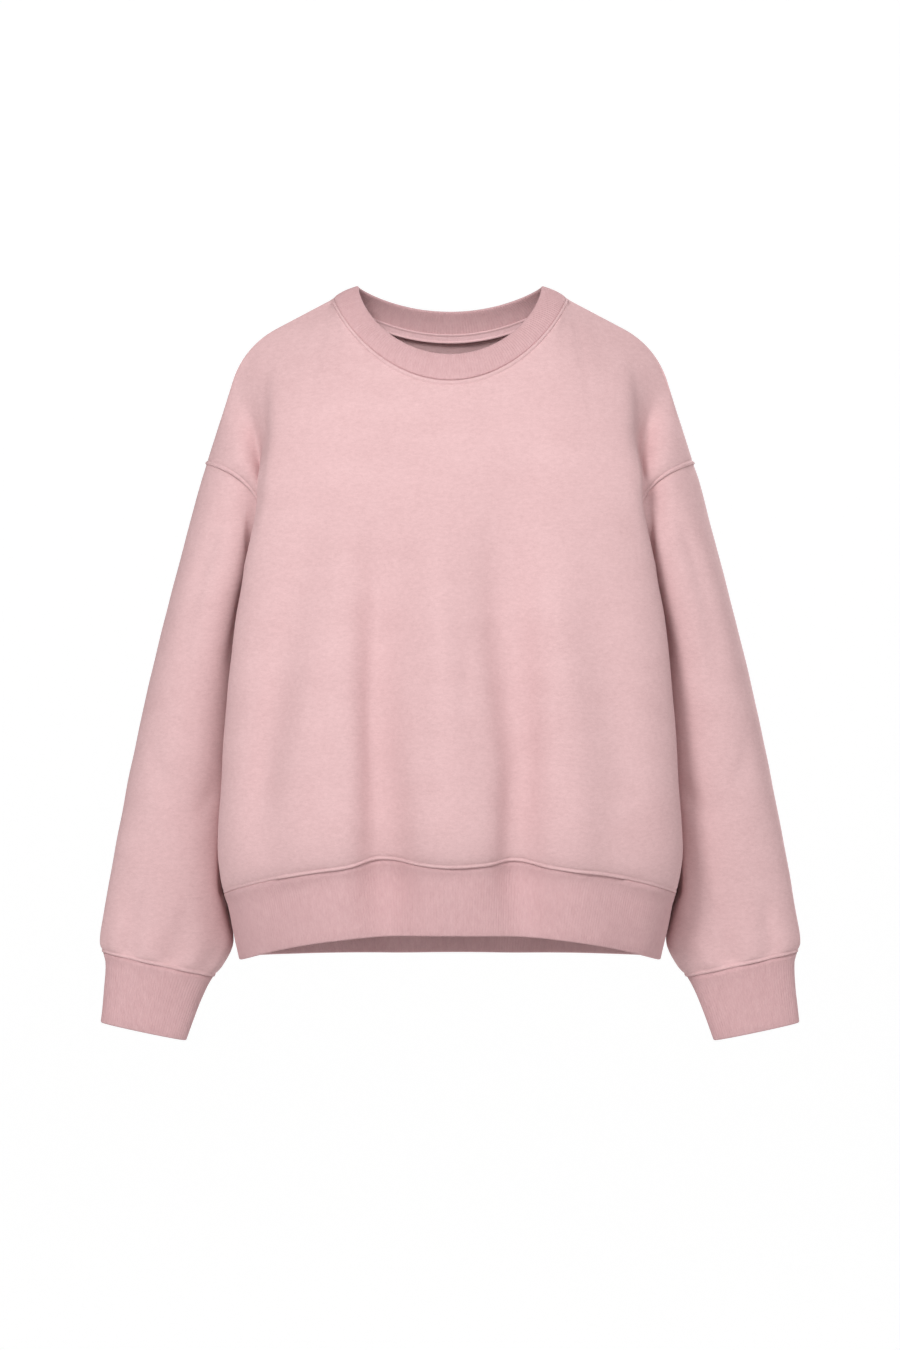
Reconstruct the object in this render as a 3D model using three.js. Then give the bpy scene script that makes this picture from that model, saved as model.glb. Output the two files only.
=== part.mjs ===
import * as THREE from 'three';

// A crewneck sweatshirt in brushed fleece with rib-knit bands, filled out as if worn and empty inside.
// Millimetres, +Z up. The front faces -Y and X runs to the viewer's right.
// The origin lies midway between the two points where the neck seam crosses the shoulder seams.

const fleece = 2.0;        // wall of the body and the sleeves
const ribKnit = 3.0;       // neckband, cuffs and hem band: rib knit folded double
const tapeThickness = 1.0; // tape over the back neck seam
const seamGap = 0.34;      // room left between two pieces that are sewn together

// Neckline: half widths, drops and depths of the seam and of the free rim. The curves say how late each one
// drops, and swell is how far the band rounds outwards between its edges.
const neck = {
  seamHalf: 112, seamTop: -2, seamFrontDrop: 83.5, seamBackDrop: 36, seamFrontDepth: 80, seamBackDepth: 50,
  rimHalf: 89, rimTop: 9, rimFrontDrop: 69.5, rimBackDrop: 21, rimFrontDepth: 71, rimBackDepth: 45,
  seamFrontCurve: 1.55, seamBackCurve: 1.8, rimFrontCurve: 1.25, rimBackCurve: 1.85,
  swell: 1.6, swellUp: 0.64,
};

// Shoulder line in the front view, from the neck seam outwards: straight, round over the shoulder, straight.
const shoulder = { slope: 27.6, run: 64, roundRadius: 85, dropSlope: 72.6, dropRun: 84.6, tipBack: 12 };

// Armhole: from the shoulder tip down to the underarm point, with its bow and its depth front and back.
const armhole = { underarmX: -177, underarmZ: -262, bow: 25.5, frontDepth: 56, backDepth: 55 };

// Rings of the body and of the hem band. down is 0 at the underarm, 1 at the hem seam and 2 at the free edge.
// side is the height at the side seam, rise lifts the middle of the front, pinch draws the side in.
const bodyRings = [
  { down: 0.00, side: -262, rise: 0, half: 219, front: 132, back: 112, pinch: 42 },
  { down: 0.06, side: -280, rise: 0, half: 222, front: 134, back: 113, pinch: 48 },
  { down: 0.18, side: -318, rise: 2, half: 228, front: 137, back: 114, pinch: 47 },
  { down: 0.42, side: -394, rise: 8, half: 234, front: 140, back: 115, pinch: 39 },
  { down: 0.66, side: -470, rise: 17, half: 237, front: 141, back: 117, pinch: 30 },
  { down: 0.86, side: -536, rise: 26, half: 238, front: 141, back: 117, pinch: 20 },
  { down: 0.95, side: -565, rise: 30, half: 233, front: 137, back: 114, pinch: 14 },
  { down: 1.00, side: -579, rise: 31, half: 226, front: 131, back: 110, pinch: 8 },
  { down: 1.10, side: -586, rise: 31, half: 219, front: 127, back: 107, pinch: 4 },
  { down: 1.50, side: -610, rise: 30, half: 212, front: 125, back: 105, pinch: 2 },
  { down: 2.00, side: -642, rise: 28, half: 204, front: 121, back: 102, pinch: 1 },
];
const bodySquare = 2.7;   // 2 is an ellipse, more is squarer
const pinchReach = 58;    // how far forwards and backwards the drawn-in side reaches

// Soft upright folds. Each begins at the height from and runs down the panel from highX to lowX.
const bodyFolds = [
  { panel: 'front', highX: -124, lowX: -176, from: -120, depth: 7, width: 26 },
  { panel: 'front', highX: -46, lowX: -60, from: -90, depth: 9, width: 26 },
  { panel: 'front', highX: 47, lowX: 73, from: -90, depth: 10, width: 26 },
  { panel: 'front', highX: 130, lowX: 172, from: -120, depth: 7, width: 26 },
  { panel: 'back', highX: -118, lowX: -160, from: -150, depth: 7, width: 28 },
  { panel: 'back', highX: -30, lowX: -46, from: -170, depth: 8, width: 28 },
  { panel: 'back', highX: 52, lowX: 62, from: -140, depth: 8, width: 28 },
  { panel: 'back', highX: 126, lowX: 164, from: -160, depth: 6, width: 26 },
];

// lowZ is where lowX is reached, full the share of the way down where a fold is at its deepest, and stand how
// far the cloth between the folds comes forwards, as a share of their depth.
const foldShape = { lowZ: -620, full: 0.75, stand: 0.35 };

// How the yoke falls from the shoulder and from the neck, and how far the armhole shapes it, in body degrees.
const yoke = {
  shoulderFall: 3, neckFall: 1.3, foldStart: 3, foldReach: 42, straightReach: 36, capReach: 9, edgeReach: 22,
  foldEnds: 0.62, foldSettles: 0.2, freeFrom: 18, freeTo: 40,
};

// Rings of the right sleeve and cuff. down is 0 at the armhole, 1 at the cuff seam and 2 at the free edge.
const sleeveRings = [
  { down: 0.00, outX: -235, outZ: -160, inX: -177, inZ: -262, front: 56, back: 55, middle: 12 },
  { down: 0.04, outX: -241, outZ: -178, inX: -189, inZ: -266, front: 57, back: 57, middle: 13 },
  { down: 0.14, outX: -254, outZ: -226, inX: -192, inZ: -303, front: 59, back: 60, middle: 15 },
  { down: 0.34, outX: -279, outZ: -322, inX: -197, inZ: -376, front: 58, back: 66, middle: 20 },
  { down: 0.56, outX: -304, outZ: -428, inX: -203, inZ: -464, front: 54, back: 60, middle: 26 },
  { down: 0.78, outX: -325, outZ: -533, inX: -208, inZ: -560, front: 43, back: 47, middle: 31 },
  { down: 0.93, outX: -338, outZ: -604, inX: -208, inZ: -623, front: 33, back: 35, middle: 34 },
  { down: 0.98, outX: -341, outZ: -628, inX: -222, inZ: -650, front: 29, back: 30, middle: 35 },
  { down: 1.00, outX: -338, outZ: -637, inX: -232, inZ: -661, front: 26, back: 27, middle: 35 },
  { down: 1.12, outX: -335, outZ: -646, inX: -238, inZ: -669, front: 23, back: 24, middle: 35 },
  { down: 1.50, outX: -336, outZ: -672, inX: -248, inZ: -692, front: 19, back: 19, middle: 34 },
  { down: 2.00, outX: -339.5, outZ: -706, inX: -259, inZ: -723, front: 15, back: 15, middle: 33 },
];
const sleeveSquare = 2.15;
const sleeveSettles = 0.3;  // share of the way down where the shape of the armhole has worn off
const cuffGathers = { count: 9, depth: 1.6, reach: 0.12, ends: 0.985 };

// How a sleeve keeps clear of the body: the distance, how softly it turns away, and the shares of the way
// down where it has left the seam, has its full distance and softness, and hangs free below.
const clearance = { gap: 4, soft: 8, leaves: 0.04, full: 0.08, softened: 0.2, freeFrom: 0.9, freeTo: 1.1 };

// Tape: it starts at this turn near the left shoulder. lift is measured from the wall's middle to its own.
const tape = { halfWidth: 4.5, lift: 2.35, start: 200 };

const neckAngle = 50;       // body angle of the column that ends where the neck seam meets the shoulder seam
const shoulderCrowd = 0.8;  // below 1 the columns spread faster from the shoulder tip
const sideCrowd = 1.35;     // above 1 the columns of a panel stand closer together towards the side
const sleeveCrowd = 1.3;    // above 1 the rows stand closer together towards the armhole
const slopeStep = 0.01;     // step over which the slope of the tube is taken

// Columns of a panel are counted from its side to its middle, under the shoulder and then under the neck.
const grid = {
  shoulderColumns: 12, neckColumns: 10, yokeRows: 12, bodyRows: 9, sleeveColumns: 24, sleeveRows: 15,
  cuffRows: 3, hemRows: 3, neckRows: 3, tapeColumns: 20, tapeRows: 2,
};

const blush = 0xe3bfc1;
const paints = {
  fleece: { color: blush, roughness: 0.95, metalness: 0 },
  rib: { color: 0xdcb5b7, roughness: 0.95, metalness: 0 },
  tape: { color: 0xdeb8ba, roughness: 0.9, metalness: 0 },
};

const { lerp, smoothstep, degToRad } = THREE.MathUtils;
const soften = (x) => Math.exp(-x * x);
const flatten = (x) => Math.exp(-(Math.abs(x) ** 3));
const bent = (value, power) => Math.sign(value) * Math.abs(value) ** power;

// Value of a column between the rows of a table, on a smooth curve through them.
function read(table, column, down) {
  let row = 0;
  while (row < table.length - 2 && down > table[row + 1].down) row += 1;
  const [a, b] = [table[row], table[row + 1]];
  const slope = (i) => {
    const [before, after] = [table[Math.max(i - 1, 0)], table[Math.min(i + 1, table.length - 1)]];
    return (after[column] - before[column]) / (after.down - before.down);
  };
  const span = b.down - a.down;
  const t = (down - a.down) / span;
  const [t2, t3] = [t * t, t * t * t];
  return a[column] * (2 * t3 - 3 * t2 + 1) + b[column] * (3 * t2 - 2 * t3)
    + span * (slope(row) * (t3 - 2 * t2 + t) + slope(row + 1) * (t3 - t2));
}

// Point on the neckband, from its seam (up 0) to its rim (up 1).
// turn is 0 at the right shoulder, 90 in front, 180 at the left shoulder and 270 at the back.
function neckPoint(turn, up) {
  const [c, s] = [Math.cos(degToRad(turn)), Math.sin(degToRad(turn))];
  const depth = Math.abs(s);
  const forwards = s >= 0 ? -depth : depth;
  const edge = (half, top, reach, drop, curve) => (
    new THREE.Vector3(-half * c, reach * forwards, top - drop * depth ** curve));
  const seam = s >= 0
    ? edge(neck.seamHalf, neck.seamTop, neck.seamFrontDepth, neck.seamFrontDrop, neck.seamFrontCurve)
    : edge(neck.seamHalf, neck.seamTop, neck.seamBackDepth, neck.seamBackDrop, neck.seamBackCurve);
  const rim = s >= 0
    ? edge(neck.rimHalf, neck.rimTop, neck.rimFrontDepth, neck.rimFrontDrop, neck.rimFrontCurve)
    : edge(neck.rimHalf, neck.rimTop, neck.rimBackDepth, neck.rimBackDrop, neck.rimBackCurve);
  const rounded = Math.sin(Math.PI * up);
  const swell = new THREE.Vector3(-c * neck.swell, forwards * neck.swell, neck.swellUp);
  return seam.lerp(rim, up).addScaledVector(swell, rounded);
}

// Point on the right shoulder line, at a share of the way from the tip (0) to the neck (1).
function shoulderPoint(share) {
  const [a, b] = [degToRad(shoulder.slope), degToRad(shoulder.dropSlope)];
  const arcRun = shoulder.roundRadius * (b - a);
  const total = shoulder.run + arcRun + shoulder.dropRun;
  const along = (1 - share) * total;
  const straight = Math.min(along, shoulder.run);
  const turned = Math.min(Math.max(along - shoulder.run, 0), arcRun) / shoulder.roundRadius;
  const dropped = Math.max(along - shoulder.run - arcRun, 0);
  return new THREE.Vector3(
    -neck.seamHalf - straight * Math.cos(a)
      - shoulder.roundRadius * (Math.sin(a + turned) - Math.sin(a)) - dropped * Math.cos(b),
    shoulder.tipBack * (1 - share),
    neck.seamTop - straight * Math.sin(a)
      - shoulder.roundRadius * (Math.cos(a) - Math.cos(a + turned)) - dropped * Math.sin(b));
}

// Point on the right armhole seam, from the shoulder tip (t 0) to the underarm (t 1), on the front (side 1)
// or the back (side -1).
function armholePoint(t, side) {
  const tip = shoulderPoint(0);
  const under = new THREE.Vector3(armhole.underarmX, shoulder.tipBack, armhole.underarmZ);
  const chord = under.clone().sub(tip).normalize();
  const lift = armhole.bow * 4 * t * (1 - t);
  const depth = (side > 0 ? armhole.frontDepth : armhole.backDepth) * 2 * Math.sqrt(Math.max(t * (1 - t), 0));
  return tip.lerp(under, t).add(new THREE.Vector3(-chord.z * lift, -side * depth, chord.x * lift));
}

// How far the cloth sinks in at a place on the front or back panel.
function foldDepth(panel, x, z) {
  let depth = 0;
  for (const fold of bodyFolds) {
    if (fold.panel !== panel) continue;
    const share = (fold.from - z) / (fold.from - foldShape.lowZ);
    const middle = lerp(fold.highX, fold.lowX, share);
    const strength = smoothstep(share, 0, foldShape.full);
    depth += fold.depth * strength * (soften((x - middle) / fold.width) - foldShape.stand);
  }
  return depth;
}

// Point on the closed body tube below the underarm, before its folds.
// angle is 0 at the right side, 90 front, 180 left, -90 back. drawn is how much of the pinch it takes.
function tubeBase(angle, down, drawn) {
  const [c, s] = [Math.cos(degToRad(angle)), Math.sin(degToRad(angle))];
  const isFront = s >= 0;
  const offset = bent(s, 2 / bodySquare) * read(bodyRings, isFront ? 'front' : 'back', down);
  const pinch = drawn * read(bodyRings, 'pinch', down) * flatten(offset / pinchReach);
  return new THREE.Vector3(
    -bent(c, 2 / bodySquare) * read(bodyRings, 'half', down) + Math.sign(c) * pinch,
    shoulder.tipBack - offset,
    read(bodyRings, 'side', down) + (isFront ? read(bodyRings, 'rise', down) * s * s : 0));
}

function tubePoint(angle, down) {
  const point = tubeBase(angle, down, 1);
  const s = Math.sin(degToRad(angle));
  point.y += foldDepth(s >= 0 ? 'front' : 'back', point.x, point.z) * s;
  return point;
}

// Point on the yoke between its top line (t 0) and the underarm ring (t 1), before the armhole shapes it.
// a is 0 at the side and 90 in the middle, on the front (side 1) or the back (side -1).
function yokeBase(side, a, t) {
  const turn = (a - neckAngle) / (90 - neckAngle) * 90;
  const top = a < neckAngle ? shoulderPoint((a / neckAngle) ** shoulderCrowd) : neckPoint(side * turn, 0);
  const ring = tubeBase(side * a, 0, 0);
  const below = tubeBase(side * a, slopeStep, 0).sub(ring);
  below.multiplyScalar((ring.z - top.z) / below.z);
  const span = ring.clone().sub(top);
  const [early, late] = [t * (1 - t) * (1 - t), t * t * (t - 1)];
  const fall = lerp(yoke.shoulderFall, yoke.neckFall, smoothstep(a, neckAngle - 15, 90));
  const even = smoothstep(t, 0, 1);
  return new THREE.Vector3(
    top.x + span.x * (even + early) + below.x * late,
    top.y + span.y * (even + fall * early) + below.y * late,
    lerp(top.z, ring.z, t));
}

// Point on the yoke. across is 0 at the right side and 180 at the left.
function yokePoint(side, across, t) {
  const isRight = across <= 90;
  const a = Math.max(isRight ? across : 180 - across, 0);
  const point = yokeBase(side, a, t);

  // The armhole edge draws the columns beside it along, widely at the top and as the pinched side does below.
  const shift = armholePoint(t, side).sub(yokeBase(side, 0, t));
  const offset = tubeBase(a, 0, 0).y - shoulder.tipBack;
  const low = t ** 4;
  const pinched = flatten(offset / pinchReach);
  const settled = smoothstep(t, yoke.foldEnds - yoke.foldSettles, yoke.foldEnds);
  const folded = 1 - smoothstep(a, yoke.foldStart, yoke.foldReach);
  const straight = Math.max(1 - a / yoke.straightReach, 0);
  const wide = lerp(lerp(folded, straight, settled), pinched, low);
  const deep = lerp(soften(a / lerp(yoke.capReach, yoke.edgeReach, settled)), pinched, low);
  point.add(new THREE.Vector3(shift.x * wide, shift.y * deep, shift.z * wide));

  if (!isRight) point.x *= -1;
  const free = lerp(smoothstep(a, yoke.freeFrom, yoke.freeTo), Math.sin(degToRad(a)), smoothstep(t, 0.5, 1));
  point.y += side * foldDepth(side > 0 ? 'front' : 'back', point.x, point.z) * free;
  return point;
}

// Point on the whole body. down is -1 at the top line, 0 at the underarm, 1 at the hem seam, 2 at the edge.
const bodyPoint = (side, across, down) => (
  down < 0 ? yokePoint(side, across, 1 + down) : tubePoint(side * across, down));

// Point on the right sleeve and cuff. turn is 0 outside, 90 front, 180 inside, 270 back.
function sleevePoint(turn, down) {
  const [c, s] = [Math.cos(degToRad(turn)), Math.sin(degToRad(turn))];
  const isFront = s >= 0;
  const at = (column) => read(sleeveRings, column, down);
  const out = new THREE.Vector3(at('outX'), 0, at('outZ'));
  const inner = new THREE.Vector3(at('inX'), 0, at('inZ'));
  const across = out.clone().sub(inner);
  const settled = smoothstep(down, 0, sleeveSettles);
  const square = lerp(1, 2 / sleeveSquare, settled);
  const point = inner.clone().addScaledVector(across, (1 + bent(c, square)) / 2);
  const lift = armhole.bow * s * s * (1 - settled);
  across.normalize();
  point.x += across.z * lift;
  point.z += -across.x * lift;
  const gathered = cuffGathers.depth * Math.cos(degToRad(turn) * cuffGathers.count)
    * smoothstep(down, 1 - cuffGathers.reach, cuffGathers.ends) * (1 - smoothstep(down, cuffGathers.ends, 1));
  point.y = at('middle') - bent(s, square) * (at(isFront ? 'front' : 'back') + gathered);
  return clearOfBody(point, down);
}

// Keeps a sleeve point outside the body, growing from nothing at the armhole to the full clearance.
function clearOfBody(point, down) {
  const sideZ = Math.min(point.z, bodyRings[0].side);
  const depthDown = bodyDown(sideZ);
  const offset = point.y - shoulder.tipBack;
  const depth = read(bodyRings, offset < 0 ? 'front' : 'back', depthDown) + clearance.gap;
  const share = Math.abs(offset / depth);
  if (share >= 1 || down > clearance.freeTo) return point;
  const half = read(bodyRings, 'half', depthDown) * (1 - share ** bodySquare) ** (1 / bodySquare)
    - read(bodyRings, 'pinch', depthDown) * flatten(offset / pinchReach);
  const overlap = point.x + half + clearance.gap * smoothstep(down, 0, clearance.full);
  const round = clearance.soft * smoothstep(down, 0, clearance.softened) + 0.01;
  const push = (overlap + Math.sqrt(overlap * overlap + round * round)) / 2;
  const fade = smoothstep(down, 0, clearance.leaves)
    * (1 - smoothstep(down, clearance.freeFrom, clearance.freeTo));
  point.x -= push * fade;
  return point;
}

// The body table's own measure of height, for a height at the side seam.
function bodyDown(side) {
  let row = 0;
  while (row < bodyRings.length - 2 && side < bodyRings[row + 1].side) row += 1;
  const [a, b] = [bodyRings[row], bodyRings[row + 1]];
  return Math.min(lerp(a.down, b.down, (a.side - side) / (a.side - b.side)), bodyRings.at(-1).down);
}

// Unit normal of a surface by small steps both ways along its two measures. sign turns it outwards.
function normalOf(surface, u, v, stepU, stepV, sign) {
  const alongU = surface(u + stepU, v).sub(surface(u - stepU, v));
  const alongV = surface(u, v + stepV).sub(surface(u, v - stepV));
  return alongU.cross(alongV).normalize().multiplyScalar(sign);
}

// A cloth wall over a grid of points with normals. Open edges named in seams step back by half the seam gap.
function wall(columns, rows, place, thickness, closed, seams) {
  const width = closed ? columns : columns + 1;
  const mid = [];
  const normals = [];
  for (let j = 0; j <= rows; j += 1) {
    for (let i = 0; i < width; i += 1) {
      const { point, normal } = place(i / columns, j / rows);
      mid.push(point);
      normals.push(normal);
    }
  }
  const index = (i, j) => j * width + ((i + width) % width);
  const moved = mid.map((p) => p.clone());
  // Steps an edge point back towards its neighbour in the cloth, square to the run of the edge.
  const stepBack = (from, towards, before, after) => {
    const along = mid[after].clone().sub(mid[before]).normalize();
    const way = mid[towards].clone().sub(mid[from]);
    way.addScaledVector(along, -way.dot(along)).normalize();
    moved[from].addScaledVector(way, seamGap / 2);
  };
  for (let i = 0; i < width; i += 1) {
    const [before, after] = closed ? [i - 1, i + 1] : [Math.max(i - 1, 0), Math.min(i + 1, columns)];
    for (const [edge, next, name] of [[0, 1, 'top'], [rows, rows - 1, 'bottom']]) {
      if (!seams.includes(name)) continue;
      stepBack(index(i, edge), index(i, next), index(before, edge), index(after, edge));
    }
  }
  for (let j = 0; j <= rows && seams.includes('sides'); j += 1) {
    const [before, after] = [Math.max(j - 1, 0), Math.min(j + 1, rows)];
    for (const [edge, next] of [[0, 1], [columns, columns - 1]]) {
      stepBack(index(edge, j), index(next, j), index(edge, before), index(edge, after));
    }
  }
  const positions = [];
  for (const side of [1, -1]) {
    moved.forEach((p, k) => {
      const q = p.clone().addScaledVector(normals[k], side * thickness / 2);
      positions.push(q.x, q.y, q.z);
    });
  }
  const inner = mid.length;
  const faces = [];
  const quad = (a, b, c, d) => faces.push(a, b, c, a, c, d);
  for (let j = 0; j < rows; j += 1) {
    for (let i = 0; i < columns; i += 1) {
      const [a, b, c, d] = [index(i, j), index(i, j + 1), index(i + 1, j + 1), index(i + 1, j)];
      quad(a, b, c, d);
      quad(inner + a, inner + d, inner + c, inner + b);
    }
  }
  for (let i = 0; i < columns; i += 1) {
    const [a, b] = [index(i, 0), index(i + 1, 0)];
    quad(a, b, inner + b, inner + a);
    const [c, d] = [index(i, rows), index(i + 1, rows)];
    quad(d, c, inner + c, inner + d);
  }
  if (!closed) {
    for (let j = 0; j < rows; j += 1) {
      const [a, b] = [index(0, j), index(0, j + 1)];
      quad(b, a, inner + a, inner + b);
      const [c, d] = [index(columns, j), index(columns, j + 1)];
      quad(c, d, inner + d, inner + c);
    }
  }
  const geometry = new THREE.BufferGeometry();
  geometry.setAttribute('position', new THREE.Float32BufferAttribute(positions, 3));
  geometry.setIndex(volumeOf(positions, faces) > 0 ? faces : faces.reverse());
  geometry.computeVertexNormals();
  return geometry;
}

// Signed volume of a closed mesh, positive when its faces point outwards.
function volumeOf(positions, faces) {
  const corner = (k) => new THREE.Vector3(positions[3 * k], positions[3 * k + 1], positions[3 * k + 2]);
  let six = 0;
  for (let k = 0; k < faces.length; k += 3) {
    six += corner(faces[k]).dot(corner(faces[k + 1]).cross(corner(faces[k + 2])));
  }
  return six / 6;
}

// Steps for slopes: around a piece in degrees and down it in its table's measure.
const turnStep = 1.2;
const downStep = 0.006;
const seamEnd = 0.001;     // nearness to an end of the armhole where the front and the back share a normal
const hangs = [0.55, 0.8]; // where, down the armhole, the cloth of both pieces begins to hang from the seam

// Normal of a body panel. Along the armhole and the neck seam it is the one that the next piece has too.
function bodyNormal(side, across, down) {
  const isRight = across <= 90;
  const a = isRight ? across : 180 - across;
  let normal;
  if (down < downStep && a < turnStep) {
    normal = armholeNormal(side, 1 + down);
  } else if (down <= -1 + downStep) {
    const turn = (a - neckAngle) / (90 - neckAngle) * 90;
    normal = a < neckAngle ? shoulderNormal(a) : neckSeamNormal(side * turn);
  } else {
    return normalOf((u, v) => bodyPoint(side, u, v), across, down, turnStep, downStep, -side);
  }
  if (!isRight) normal.x *= -1;
  return normal;
}

function shoulderNormal(a) {
  const share = (at) => Math.min((Math.max(at, 0) / neckAngle) ** shoulderCrowd, 1);
  const along = shoulderPoint(share(a + turnStep)).sub(shoulderPoint(share(a - turnStep)));
  return new THREE.Vector3(-along.z, 0, along.x).normalize();
}

// Normal along the armhole seam: between those of the panel and the sleeve beside it, and towards the ways
// that the two leave the seam where both hang down from it. It is the same for front and back at both ends.
function armholeNormal(side, t) {
  const isEnd = t < seamEnd || t > 1 - seamEnd;
  if (isEnd) {
    const near = t < 0.5 ? 2 * seamEnd : 1 - 2 * seamEnd;
    return armholeNormal(1, near).add(armholeNormal(-1, near)).normalize();
  }
  const inside = Math.min(Math.max(t, 0.02), 0.98);
  const turn = Math.acos(1 - 2 * inside) * 180 / Math.PI * side;
  const body = normalOf((u, v) => bodyPoint(side, u, v), turnStep * 1.25, inside - 1, turnStep, 0.01, -side);
  const sleeve = normalOf(sleevePoint, turn, 0.02, 2, 0.015, -1);
  const seam = armholePoint(inside, side);
  const along = armholePoint(inside + 0.01, side).sub(seam).normalize();
  const leaving = (point) => {
    const way = point.sub(seam);
    return way.addScaledVector(along, -way.dot(along)).normalize();
  };
  const between = leaving(bodyPoint(side, 2 * turnStep, inside - 1)).add(leaving(sleevePoint(turn, 0.03)));
  return body.add(sleeve).addScaledVector(between, smoothstep(t, ...hangs)).normalize();
}

const neckSeamNormal = (turn) => normalOf(neckPoint, turn, 0.06, 3, 0.05, 1);
const tubeNormal = (angle, down) => normalOf(tubePoint, angle, down, turnStep, downStep, -1);
const sleeveNormal = (turn, down) => (
  normalOf((u, v) => sleevePoint(u, Math.max(v, 0)), turn, down, 2, down === 1 ? 0.03 : 0.008, -1));

const mirrored = ({ point, normal }) => {
  point.x *= -1;
  normal.x *= -1;
  return { point, normal };
};

// Rows of a body panel: crowded under the top line, then even down to the hem seam.
function panelDown(row) {
  if (row <= grid.yokeRows) return -(1 + Math.cos(Math.PI * row / grid.yokeRows)) / 2;
  return (row - grid.yokeRows) / grid.bodyRows;
}

// Where the columns of a panel stand across it: 0 at the right side, 90 in the middle, 180 at the left.
const halfColumns = grid.shoulderColumns + grid.neckColumns;
function panelAcross(column) {
  if (column > halfColumns) return 180 - panelAcross(2 * halfColumns - column);
  if (column > grid.shoulderColumns) {
    return lerp(neckAngle, 90, (column - grid.shoulderColumns) / grid.neckColumns);
  }
  return neckAngle * (column / grid.shoulderColumns) ** sideCrowd;
}

function makePanel(side) {
  const rows = grid.yokeRows + grid.bodyRows;
  return wall(2 * halfColumns, rows, (u, v) => {
    const across = panelAcross(Math.round(u * 2 * halfColumns));
    const down = panelDown(Math.round(v * rows));
    return { point: bodyPoint(side, across, down), normal: bodyNormal(side, across, down) };
  }, fleece, false, ['top', 'bottom', 'sides']);
}

function makeSleeve(isRight) {
  return wall(grid.sleeveColumns, grid.sleeveRows, (u, v) => {
    const turn = 360 * u;
    const t = (1 - Math.cos(degToRad(turn))) / 2;
    const side = turn <= 180 ? 1 : -1;
    const down = v ** sleeveCrowd;
    const placed = v === 0
      ? { point: armholePoint(t, side), normal: armholeNormal(side, t) }
      : { point: sleevePoint(turn, down), normal: sleeveNormal(turn, down) };
    return isRight ? placed : mirrored(placed);
  }, fleece, true, ['top', 'bottom']);
}

function makeCuff(isRight) {
  return wall(grid.sleeveColumns, grid.cuffRows, (u, v) => {
    const placed = { point: sleevePoint(360 * u, 1 + v), normal: sleeveNormal(360 * u, 1 + v) };
    return isRight ? placed : mirrored(placed);
  }, ribKnit, true, ['top']);
}

function makeHemBand() {
  return wall(4 * halfColumns, grid.hemRows, (u, v) => {
    const column = Math.round(u * 4 * halfColumns);
    const angle = column <= 2 * halfColumns ? panelAcross(column) : -panelAcross(4 * halfColumns - column);
    return { point: tubePoint(angle, 1 + v), normal: tubeNormal(angle, 1 + v) };
  }, ribKnit, true, ['top']);
}

function makeNeckband() {
  return wall(4 * grid.neckColumns, grid.neckRows, (u, v) => {
    const turn = 360 * u;
    const normal = v === 0 ? neckSeamNormal(turn) : normalOf(neckPoint, turn, v, 3, 0.05, 1);
    return { point: neckPoint(turn, v), normal };
  }, ribKnit, true, ['top']);
}

// Tape inside the back neck: half on the band, half on the back panel, moved in from their walls.
function makeNeckTape() {
  const bandHeight = neckPoint(270, 0).distanceTo(neckPoint(270, 1));
  return wall(grid.tapeColumns, grid.tapeRows, (u, v) => {
    const turn = lerp(tape.start, 540 - tape.start, u);
    const normal = neckSeamNormal(turn);
    const seam = neckPoint(turn, 0);
    const up = neckPoint(turn, tape.halfWidth * 2 / bandHeight).sub(seam).normalize();
    const point = seam.addScaledVector(up, lerp(tape.halfWidth, -tape.halfWidth, v));
    return { point: point.addScaledVector(normal, -tape.lift), normal };
  }, tapeThickness, false, []);
}

function piece(name, geometry, paint) {
  const mesh = new THREE.Mesh(geometry, new THREE.MeshStandardMaterial(paints[paint]));
  mesh.name = name;
  return mesh;
}

const sweatshirt = new THREE.Group();
sweatshirt.add(
  piece('front', makePanel(1), 'fleece'),
  piece('back', makePanel(-1), 'fleece'),
  piece('sleeve_right', makeSleeve(true), 'fleece'),
  piece('sleeve_left', makeSleeve(false), 'fleece'),
  piece('cuff_right', makeCuff(true), 'rib'),
  piece('cuff_left', makeCuff(false), 'rib'),
  piece('hem_band', makeHemBand(), 'rib'),
  piece('neckband', makeNeckband(), 'rib'),
  piece('neck_tape', makeNeckTape(), 'tape'),
);

export default sweatshirt;
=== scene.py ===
import math

import bmesh
import bpy
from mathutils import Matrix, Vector, noise


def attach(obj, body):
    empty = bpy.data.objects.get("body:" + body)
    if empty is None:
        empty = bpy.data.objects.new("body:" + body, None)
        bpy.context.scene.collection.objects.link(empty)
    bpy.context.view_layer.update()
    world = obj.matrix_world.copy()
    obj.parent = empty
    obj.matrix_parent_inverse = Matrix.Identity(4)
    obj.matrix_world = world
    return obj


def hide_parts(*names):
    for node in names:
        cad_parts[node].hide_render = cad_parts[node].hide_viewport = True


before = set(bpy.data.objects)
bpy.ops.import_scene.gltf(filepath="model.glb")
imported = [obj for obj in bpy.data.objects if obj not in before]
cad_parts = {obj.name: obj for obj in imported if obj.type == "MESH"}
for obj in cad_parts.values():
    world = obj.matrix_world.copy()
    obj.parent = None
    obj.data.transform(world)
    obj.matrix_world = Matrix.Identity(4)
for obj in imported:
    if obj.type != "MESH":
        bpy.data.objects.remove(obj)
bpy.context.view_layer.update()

# Crewneck sweatshirt, filled out as if worn and empty inside. The sizes below are in millimetres, as
# its pattern maker would give them, and meshes are placed in metres. The front faces -Y.
metre = 0.001
print("frame loaded")


def lerp(a, b, t):
    return a + (b - a) * t


def smoothstep(x, low, high):
    t = min(max((x - low) / (high - low), 0.0), 1.0)
    return t * t * (3 - 2 * t)


def soften(x):
    return math.exp(-x * x)


def flatten(x):
    return math.exp(-abs(x) ** 3)


def bent(value, power):
    return math.copysign(abs(value) ** power, value)


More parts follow.
